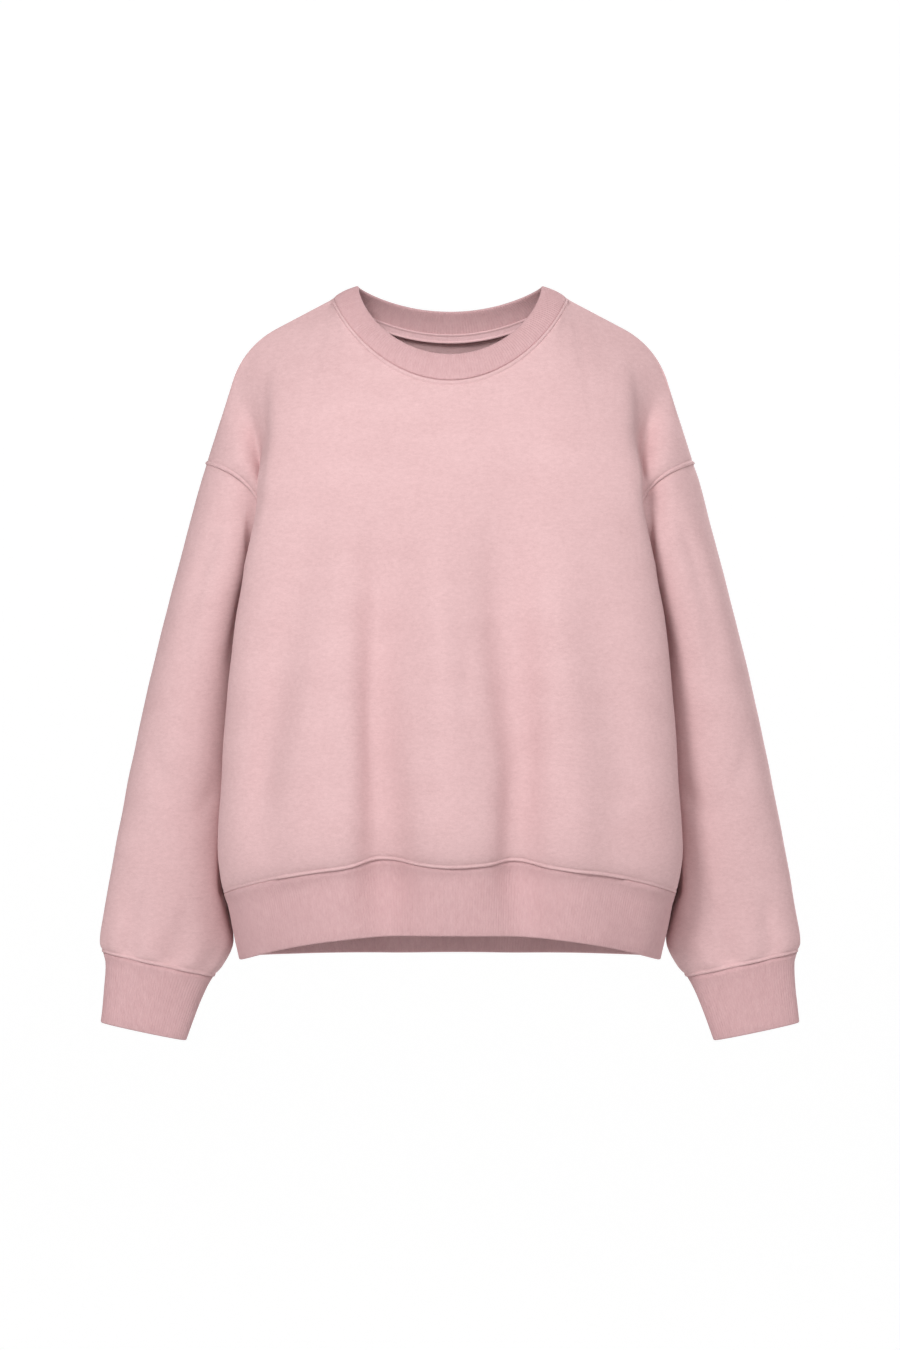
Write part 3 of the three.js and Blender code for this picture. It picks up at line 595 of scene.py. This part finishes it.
def panelGrid(side):
    edge = len(edgeLines)
    half = edge - 1 + panel["shoulderColumns"] + panel["neckColumns"]
    columns = 2 * half
    yokeRows = edge - 1 + panel["yokeRows"]
    rows = yokeRows + panel["bodyRows"] + edge - 1
    neckMeasure = evenMeasure(neck["shoulderAngle"])
    step = panel["step"]
    rates = {}

    # mm per unit of the even measure beside the armhole or side seam, at a row's own height
    def sideRate(down):
        key = round(down, 4)
        if key not in rates:
            rates[key] = (bodyPoint(side, evenAngle(step), down) - bodyPoint(side, 0, down)).length / step
        return rates[key]

    creases, steps = (frontCreases, frontSteps) if side > 0 else (backCreases, backSteps)

    def downOf(j, angle):
        if j <= yokeRows:
            start = bodyPoint(side, angle, -1)
            rate = (bodyPoint(side, angle, -1 + step) - start).length / step
            last = edgeLines[-1] / rate
            if j < edge:
                return -1 + edgeLines[j] / rate
            return -1 + lerp(last, 1, (j - edge + 1) / panel["yokeRows"])
        rate = (tubePoint(side * angle, 1) - tubePoint(side * angle, 1 - step)).length / step
        last = edgeLines[-1] / rate
        k = rows - j
        if k < edge:
            return 1 - edgeLines[k] / rate
        return lerp(0, 1 - last, (j - yokeRows) / panel["bodyRows"])

    # The cloth eases over the corner where the shoulder line meets the neck, and over the fold below the
    # shoulder's end.
    def easedPoint(angle, down):
        point = bodyPoint(side, angle, down)
        fromEdge = min(angle, 180 - angle)
        near = soften((fromEdge - neck["shoulderAngle"]) / panel["easeWide"])
        eased = panel["easeReach"] * near * smoothstep(down, *panel["easeGrows"])
        eased *= 1 - smoothstep(down, *panel["easeFades"])
        folded = smoothstep(down, *panel["foldGrows"]) * (1 - smoothstep(down, *panel["foldFades"]))
        folded = min(panel["foldEase"], fromEdge) * folded
        reach = max(eased, folded * (1 - smoothstep(fromEdge, *panel["foldSide"])))
        if reach < panel["leastEase"]:
            return point
        return (point * 2 + bodyPoint(side, angle - reach, down) + bodyPoint(side, angle + reach, down)) / 4

    def spot(i, j):
        isRight = i <= half
        k = i if isRight else columns - i
        # the height is found first from an even spacing, then the columns near the edge are set in mm
        rough = neckMeasure * k / (half - panel["neckColumns"])
        if k > half - panel["neckColumns"]:
            rough = lerp(neckMeasure, 1, (k - half + panel["neckColumns"]) / panel["neckColumns"])
        down = downOf(j, evenAngle(rough) if k >= edge else evenAngle(step * k / edge))
        rate = sideRate(down)
        last = edgeLines[-1] / rate
        if k < edge:
            measure = edgeLines[k] / rate
        elif k <= half - panel["neckColumns"]:
            measure = lerp(last, neckMeasure, (k - edge + 1) / panel["shoulderColumns"])
        else:
            measure = rough
        angle = evenAngle(measure)
        point = easedPoint(angle if isRight else 180 - angle, down)
        point.y += side * creaseDepth(steps, point.x, point.z)
        return point

    def rise(i, j, place):
        k = min(i, columns - i)
        fromSide, fromTop, fromHem = fromSeam(k), fromSeam(j), fromSeam(rows - j)
        isNeck = k >= half - panel["neckColumns"]
        isArmhole = j < yokeRows
        height = seamRelief(fromHem, *panel["hemRidge"])
        if isNeck:
            height += seamRelief(fromTop, *panel["neckRidge"])
        elif k > 0 or j > 0:
            ridge = panel["shoulderRidge" if side < 0 else "frontShoulderRidge"]
            height = min(height, 0) + seamRelief(fromTop, *ridge, panel["shoulderGroove"])
        if isArmhole:
            height += seamRelief(fromSide, *panel["armholeRidge"])
        else:
            height += seamRelief(fromSide, *panel["sideRidge"], panel["sideGroove"])
        clear = smoothstep(min(fromSide, fromTop, fromHem), *unevenRange)
        height += softness(place, panel["unevenSize"], panel["unevenMm"]) * clear
        creased = creaseDepth(creases, place.x, place.z) * smoothstep(min(fromSide, fromTop), *creaseRange)
        return max(height, panel["deepest"]) - creased

    bm, places, normals = clothGrid(columns, rows, spot, rise, flip=-side)
    lines = dict(columns=columns, rows=rows, yokeRows=yokeRows, neck=half - panel["neckColumns"])
    return bm, places, normals, lines


frontGrid = panelGrid(1)
front = addPiece("front_fleece", frontGrid[0], fleeceCloth, panel["wall"])
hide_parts("front")
print("front panel made")
backGrid = panelGrid(-1)
back = addPiece("back_fleece", backGrid[0], fleeceCloth, panel["wall"])
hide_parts("back")
print("back panel made")


sleevePanel = dict(columns=104, rows=108, length=490, wall=2.0, unevenMm=0.8, unevenSize=40,
                   armholeRidge=(0.1, 2.0), cuffRidge=(1.0, 2.8), stepFades=(0.08, 0.2))
# Creases of the sleeves: x is the turn in degrees and z the distance down in mm.
sleeveCreases = makeCreases([
    (2.4, 12, 0.4, 0.4, [(60, 30), (66, 130), (74, 240)]),
    (2.0, 10, 0.4, 0.4, [(120, 20), (128, 110), (126, 200)]),
    (1.6, 12, 0.5, 0.5, [(40, 250), (66, 300), (96, 330)]),
    (1.8, 11, 0.5, 0.5, [(134, 270), (108, 320), (80, 345)]),
    (2.0, 10, 0.4, 0.2, [(52, 400), (60, 440), (58, 486)]),
    (2.0, 9, 0.4, 0.2, [(104, 392), (98, 440), (102, 486)]),
    (2.6, 12, 0.4, 0.4, [(236, 30), (242, 120), (250, 230)]),
    (2.2, 11, 0.4, 0.4, [(300, 24), (292, 110), (296, 190)]),
    (1.8, 12, 0.5, 0.5, [(320, 260), (286, 300), (252, 326)]),
    (1.8, 10, 0.5, 0.5, [(222, 330), (250, 366), (286, 380)]),
    (2.2, 10, 0.4, 0.2, [(250, 396), (256, 440), (252, 486)]),
    (2.0, 10, 0.4, 0.2, [(306, 404), (300, 446), (304, 486)]),
    (2.0, 12, 0.5, 0.5, [(350, 150), (344, 260), (348, 350)]),
    (5.0, 14, 0.25, 0.25, [(150, 12), (152, 200), (154, 440)]),
    (4.0, 14, 0.25, 0.25, [(208, 12), (206, 200), (204, 430)]),
])


def sleeveGrid(mirror):
    edge = len(edgeLines)
    columns, rows = sleevePanel["columns"], sleevePanel["rows"] + 2 * (edge - 1)
    length = sleevePanel["length"]

    def spot(i, j):
        turn = 360 * (i % columns) / columns
        k = rows - j
        if j < edge:
            down = edgeLines[j] / length
        elif k < edge:
            down = 1 - edgeLines[k] / length
        else:
            share = (j - edge + 1) / sleevePanel["rows"]
            down = lerp(edgeLines[-1] / length, 1 - edgeLines[-1] / length, share)
        point = sleevePoint(turn, down)
        point.x *= mirror
        side, steps = (1, frontSteps) if turn < 180 else (-1, backSteps)
        stepped = side * creaseDepth(steps, point.x, point.z)
        point.y += stepped * (1 - smoothstep(down, *sleevePanel["stepFades"]))
        return point

    def rise(i, j, place):
        turn, down = 360 * (i % columns) / columns, j / rows
        fromTop, fromCuff = fromSeam(j), fromSeam(rows - j)
        height = (seamRelief(fromTop, *sleevePanel["armholeRidge"])
                  + seamRelief(fromCuff, *sleevePanel["cuffRidge"]))
        clear = smoothstep(min(fromTop, fromCuff), *unevenRange)
        height += softness(place, sleevePanel["unevenSize"], sleevePanel["unevenMm"]) * clear
        return height - creaseDepth(sleeveCreases, turn, down * length) * clear

    bm, places, normals = clothGrid(columns, rows, spot, rise, closed=True, flip=-mirror)
    return bm, places, normals, dict(columns=columns, rows=rows)


sleeveGrids = {}
for sideName, mirror in (("right", 1), ("left", -1)):
    sleeveGrids[sideName] = sleeveGrid(mirror)
    piece = addPiece("sleeve_" + sideName + "_fleece", sleeveGrids[sideName][0], fleeceCloth,
                     sleevePanel["wall"])
    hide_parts("sleeve_" + sideName)
print("sleeves made")


# Angles that stand evenly along a closed line of the surface.
def evenTurns(line, count, samples=720):
    lengths = [0.0]
    points = [line(360 * k / samples) for k in range(samples + 1)]
    for a, b in zip(points, points[1:]):
        lengths.append(lengths[-1] + (b - a).length)
    turns, k = [], 0
    for n in range(count):
        wanted = lengths[-1] * n / count
        while lengths[k + 1] < wanted:
            k += 1
        turns.append(360 * (k + (wanted - lengths[k]) / (lengths[k + 1] - lengths[k])) / samples)
    return turns, lengths[-1]


# Share of a rib's height at each of its four lines, and how the section of a band is made.
waleShares = (1.0, 0.35, -1.0, 0.35)
bandShape = dict(crowd=1.25, seamShare=0.5, seamReach=2.6, waleReach=3.0, innerWale=0.6, step=0.03,
                 turnStep=1.2, waveSize=24)


# A band of rib knit folded double. surface(turn, up) runs from the seam (0) to the free edge (1). Its
# cloth goes down the outside, round the fold and up the inside, and the ribs stand off both faces.
def ribBand(name, surface, look, outward, sink=None):
    columns = look["ribs"] * len(waleShares)
    turns, length = evenTurns(lambda turn: surface(turn, 0.5), columns)
    outerRows, foldRows, innerRows = look["rows"]
    height, layer = look["height"], look["layer"]
    radius = look["thickness"] / 2 - layer / 2
    # the way over the band's section: distance from the seam, and offset from its middle
    path = []
    flat = height - radius
    for k in range(outerRows + 1):
        along = flat * (k / outerRows) ** bandShape["crowd"]
        opened = lerp(bandShape["seamShare"], 1, smoothstep(along, 0, bandShape["seamReach"]))
        path.append((along, radius * opened))
    for k in range(1, foldRows):
        turned = math.pi * k / foldRows
        path.append((flat + radius * math.sin(turned), radius * math.cos(turned)))
    for k in range(innerRows + 1):
        path.append((flat * (1 - k / innerRows), -radius))
    rows = len(path) - 1
    step, turnStep = bandShape["step"], bandShape["turnStep"]

    def frameAt(turn, up):
        u = surface(turn + turnStep, up) - surface(turn - turnStep, up)
        v = surface(turn, min(up + step, 1)) - surface(turn, max(up - step, 0))
        return u.cross(v).normalized() * outward

    upLines = sorted({round(s / height, 4) for s, _ in path})
    cache = {up: [(surface(turn, up), frameAt(turn, up)) for turn in turns] for up in upLines}

    def spot(i, j):
        s, n = path[j]
        point, normal = cache[round(s / height, 4)][i % columns]
        wale = look["wale"] * waleShares[i % len(waleShares)]
        isOuter = j <= outerRows + foldRows
        wale *= smoothstep(s, 0, bandShape["waleReach"]) if isOuter else bandShape["innerWale"]
        wave = softness(point, bandShape["waveSize"], look["uneven"])
        bulge = (n / radius) * wale
        return point + normal * (n + bulge + wave - (sink(point) if sink else 0))

    bm, places, normals = clothGrid(columns, rows, spot, lambda i, j, place: 0, closed=True)
    return addPiece(name, bm, ribCloth, layer), length


hemLook = dict(ribs=420, height=64, rows=(9, 5, 4), thickness=3.0, layer=1.2, wale=0.17, uneven=0.5)
cuffLook = dict(ribs=84, height=68, rows=(10, 5, 6), thickness=3.0, layer=1.2, wale=0.2, uneven=0.4)
neckLook = dict(ribs=216, height=24, rows=(9, 5, 8), thickness=3.0, layer=1.2, wale=0.25, uneven=0.2)


# The body's own troughs run on through the hem band.
def hemSink(point):
    creases = frontCreases if point.y < shoulder["tipBack"] else backCreases
    return creaseDepth(creases, point.x, point.z)


def hemSurface(turn, up):
    return tubePoint((turn + 180) % 360 - 180, 1 + up)


hemBand, hemLength = ribBand("hem_band_rib", hemSurface, hemLook, -1, hemSink)
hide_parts("hem_band")
neckBand, neckLength = ribBand("neckband_rib", neckPoint, neckLook, 1)
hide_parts("neckband")
cuffs = {}
for sideName, mirror in (("right", 1), ("left", -1)):
    def cuffSurface(turn, up, mirror=mirror):
        point = sleevePoint(turn % 360, 1 + up)
        point.x *= mirror
        return point
    cuffs[sideName], cuffLength = ribBand("cuff_" + sideName + "_rib", cuffSurface, cuffLook, -mirror)
    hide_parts("cuff_" + sideName)
print("rib bands made", round(hemLength), round(neckLength), round(cuffLength))


tapeSizes = dict(halfWidth=4.5, lift=2.8, start=200, wall=0.8, columns=170, rows=16, piping=0.9,
                 pipingWidth=0.9, turnStep=3, sideUp=0.06, lowUp=0.01, highUp=0.11, waveSize=9,
                 uneven=0.3)


def tapeGrid():
    bandHeight = (neckPoint(270, 1) - neckPoint(270, 0)).length
    columns, rows = tapeSizes["columns"], tapeSizes["rows"]

    def spot(i, j):
        turn = lerp(tapeSizes["start"], 540 - tapeSizes["start"], i / columns)
        turnStep, sideUp = tapeSizes["turnStep"], tapeSizes["sideUp"]
        u = neckPoint(turn + turnStep, sideUp) - neckPoint(turn - turnStep, sideUp)
        v = neckPoint(turn, tapeSizes["highUp"]) - neckPoint(turn, tapeSizes["lowUp"])
        normal = u.cross(v).normalized()
        seam = neckPoint(turn, 0)
        up = (neckPoint(turn, 2 * tapeSizes["halfWidth"] / bandHeight) - seam).normalized()
        way = lerp(tapeSizes["halfWidth"], -tapeSizes["halfWidth"], j / rows)
        fromPiping = abs(way) - tapeSizes["halfWidth"] + tapeSizes["pipingWidth"]
        edgeLift = tapeSizes["piping"] * soften(fromPiping / tapeSizes["pipingWidth"])
        lift = tapeSizes["lift"] + edgeLift + softness(seam, tapeSizes["waveSize"], tapeSizes["uneven"])
        return seam + up * way - normal * lift

    return clothGrid(columns, rows, spot, lambda i, j, place: 0)[0]


neckTape = addPiece("neck_tape_knit", tapeGrid(), tapeCloth, tapeSizes["wall"])
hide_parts("neck_tape")
print("neck tape made")


stitchSizes = dict(pitch=3.3, length=2.4, radius=0.3, sink=0.12)
# Grid lines from each seam that its stitching follows, and the lines left free at its ends.
stitchLines = dict(neck=5, hem=4, side=4, shoulder=4, cuff=4, ends=3)


# Short stitches along a line of places on the cloth's outer face.
def addStitches(bm, line, normals, outer, closed=False):
    if closed:
        line, normals = line + line[:1], normals + normals[:1]
    travelled, nextAt = 0.0, stitchSizes["pitch"] / 2
    for a, b, na in zip(line, line[1:], normals):
        length = (b - a).length
        while travelled + length > nextAt and length > 0:
            place = a.lerp(b, (nextAt - travelled) / length) + na * (outer - stitchSizes["sink"])
            way = (b - a).normalized()
            turned = way.to_track_quat("X", "Z").to_matrix().to_4x4()
            turned.translation = place * metre
            made = bmesh.ops.create_icosphere(bm, subdivisions=1, radius=stitchSizes["radius"] * metre)
            for vert in made["verts"]:
                vert.co.x *= stitchSizes["length"] / 2 / stitchSizes["radius"]
                vert.co = turned @ vert.co
            nextAt += stitchSizes["pitch"]
        travelled += length


def smoothed(bm):
    for face in bm.faces:
        face.smooth = True
    return bm


def panelStitches(grid, isBack):
    bm = bmesh.new()
    _, places, normals, lines = grid
    columns, rows, neckAt = lines["columns"], lines["rows"], lines["neck"]
    outer = panel["wall"] / 2
    ends = stitchLines["ends"]

    def alongRow(row, cut):
        addStitches(bm, places[row][cut], normals[row][cut], outer)

    alongRow(stitchLines["neck"], slice(neckAt, columns - neckAt + 1))
    alongRow(rows - stitchLines["hem"], slice(ends, columns - ends + 1))
    for column in (stitchLines["side"], columns - stitchLines["side"]):
        down = range(ends, lines["yokeRows"])
        addStitches(bm, [places[j][column] for j in down], [normals[j][column] for j in down], outer)
    if isBack:
        tip = stitchLines["side"] + 1
        alongRow(stitchLines["shoulder"], slice(tip, neckAt - 1))
        alongRow(stitchLines["shoulder"], slice(columns - neckAt + 1, columns - tip))
    return smoothed(bm)


def sleeveStitches(grid):
    bm = bmesh.new()
    _, places, normals, lines = grid
    row = lines["rows"] - stitchLines["cuff"]
    addStitches(bm, places[row][:-1], normals[row][:-1], sleevePanel["wall"] / 2, closed=True)
    return smoothed(bm)


frontThread = addPiece("front_stitches", panelStitches(frontGrid, False), sewingThread)
backThread = addPiece("back_stitches", panelStitches(backGrid, True), sewingThread)
sleeveThread = {name: addPiece("sleeve_" + name + "_stitches", sleeveStitches(grid), sewingThread)
                for name, grid in sleeveGrids.items()}
print("stitches made")

studio = dict(floorZ=-2.2, radius=9, height=4.2, glow=0.86, glowFrom=3.5, glowFull=8.5,
              floor="#e6e6e6", wall="#8c8c8c", segments=96, roughness=0.9, worldStrength=0.06)


# A round studio of white paper. Its floor is plain, and its wall glows as paper lit from behind does.
def makeBackdrop():
    bm = bmesh.new()
    bmesh.ops.create_cone(bm, cap_ends=True, segments=studio["segments"], radius1=studio["radius"],
                          radius2=studio["radius"], depth=studio["height"])
    roof = [face for face in bm.faces if face.normal.z > 0.5]
    bmesh.ops.delete(bm, geom=roof, context="FACES_ONLY")
    bmesh.ops.translate(bm, vec=(0, 0, studio["floorZ"] + studio["height"] / 2), verts=bm.verts)
    bmesh.ops.reverse_faces(bm, faces=bm.faces)
    for face in bm.faces:
        face.smooth = len(face.verts) == 4
    mesh = bpy.data.meshes.new("backdrop")
    bm.to_mesh(mesh)
    bm.free()
    backdrop = bpy.data.objects.new("backdrop", mesh)
    bpy.context.scene.collection.objects.link(backdrop)
    paper = bpy.data.materials.new("matt_white_paper")  # matt and seamless, white towards the wall
    paper.use_nodes = True
    tree = paper.node_tree
    place = addNode(tree, "ShaderNodeTexCoord")
    flat = addNode(tree, "ShaderNodeMapping", Vector=place.outputs["Object"], Scale=(1, 1, 0))
    reach = addNode(tree, "ShaderNodeVectorMath", dict(operation="LENGTH"), _0=flat.outputs[0])
    glow = addNode(tree, "ShaderNodeMapRange", Value=reach.outputs["Value"], From_Min=studio["glowFrom"],
                   From_Max=studio["glowFull"], To_Max=studio["glow"])
    far = addNode(tree, "ShaderNodeMapRange", Value=reach.outputs["Value"], From_Min=studio["glowFrom"],
                  From_Max=studio["glowFull"])
    colour = addNode(tree, "ShaderNodeMix", dict(data_type="RGBA"), _0=far.outputs[0],
                     _6=linear(studio["floor"]), _7=linear(studio["wall"]))
    shader = tree.nodes["Principled BSDF"]
    shader.inputs["Roughness"].default_value = studio["roughness"]
    shader.inputs["Emission Color"].default_value = (1, 1, 1, 1)
    tree.links.new(colour.outputs[2], shader.inputs["Base Color"])
    tree.links.new(glow.outputs[0], shader.inputs["Emission Strength"])
    mesh.materials.append(paper)


makeBackdrop()

world = bpy.data.worlds.new("soft studio")
bpy.context.scene.world = world
world.use_nodes = True
world.node_tree.nodes["Background"].inputs["Color"].default_value = (1, 1, 1, 1)
world.node_tree.nodes["Background"].inputs["Strength"].default_value = studio["worldStrength"]


def softBox(name, place, aim, size, watts):
    lamp = bpy.data.lights.new(name, "AREA")
    lamp.shape = "RECTANGLE"
    lamp.size, lamp.size_y = size
    lamp.energy = watts
    box = bpy.data.objects.new(name, lamp)
    box.location = place
    box.rotation_euler = (Vector(aim) - Vector(place)).to_track_quat("-Z", "Y").to_euler()
    bpy.context.scene.collection.objects.link(box)


softBox("key", place=(-1.5, -3.7, 2.0), aim=(0, 0, -0.35), size=(0.9, 1.3), watts=134)
softBox("fill", place=(1.7, -2.8, 2.6), aim=(0, 0, -0.3), size=(2.0, 1.6), watts=62)
softBox("rear", place=(2.0, 3.6, 2.0), aim=(0, 0, -0.35), size=(1.2, 1.6), watts=150)

view = dict(lens=137.4, sensor=36, distance=5, height=-0.367)
camera = bpy.data.cameras.new("camera")
camera.lens = view["lens"]
camera.sensor_width = view["sensor"]
cameraObject = bpy.data.objects.new("camera", camera)
cameraObject.location = (0, -view["distance"], view["height"])
cameraObject.rotation_euler = (math.pi / 2, 0, 0)
bpy.context.scene.collection.objects.link(cameraObject)
bpy.context.scene.camera = cameraObject
bpy.context.scene.view_settings.view_transform = "Standard"  # white paper stays white

print("scene made")
